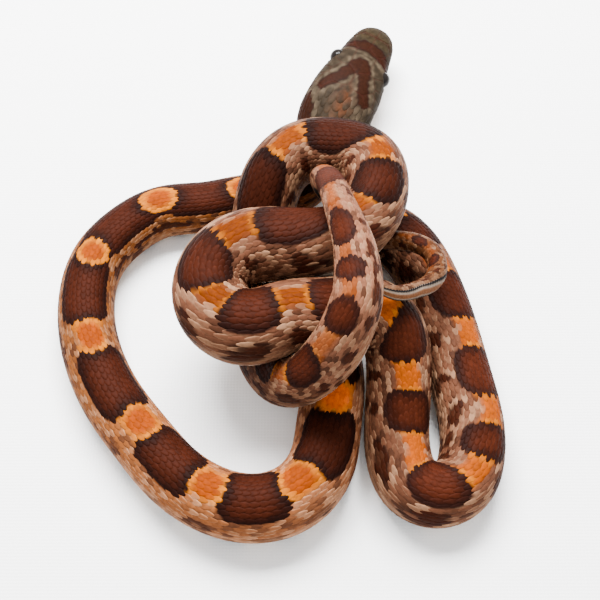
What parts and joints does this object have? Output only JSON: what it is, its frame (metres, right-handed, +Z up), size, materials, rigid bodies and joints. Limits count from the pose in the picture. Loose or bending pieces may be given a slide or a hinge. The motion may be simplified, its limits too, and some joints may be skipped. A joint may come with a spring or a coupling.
{
  "type": "corn snake",
  "caption": "Still life-size model of a young corn snake lying in a loose heap of loops, head raised a little and tail ring belly up.",
  "frame": {"origin": "on the floor under the middle of the heap", "axes": "+Z up from the floor, +Y towards the snout end of the heap, +X to the side of the tail ring"},
  "size_m": [0.049, 0.0656, 0.0218],
  "materials": {
    "head_scales": "satin scales, dull red brown and grey pink",
    "fore_scales": "satin scales, brick red saddles with orange blotches between",
    "rear_scales": "satin scales, dark saddles on grey pink flanks",
    "tail_scales": "satin scales, tan orange with small round dark blotches",
    "eye": "wet gloss, blue black"
  },
  "bodies": {
    "root": {"head": "head_scales", "eye_right": "eye", "eye_left": "eye", "neck": "fore_scales", "body_01": "fore_scales", "body_02": "fore_scales", "body_03": "fore_scales", "body_04": "fore_scales", "body_05": "fore_scales", "body_06": "fore_scales", "body_07": "fore_scales", "body_08": "fore_scales", "body_09": "rear_scales", "body_10": "rear_scales", "body_11": "rear_scales", "body_12": "rear_scales", "body_13": "rear_scales", "body_14": "rear_scales", "body_15": "rear_scales", "body_16": "rear_scales", "body_17": "rear_scales", "body_18": "rear_scales", "tail_01": "tail_scales", "tail_02": "tail_scales", "tail_03": "tail_scales", "tail_tip": "tail_scales"}
  },
  "joints": []
}
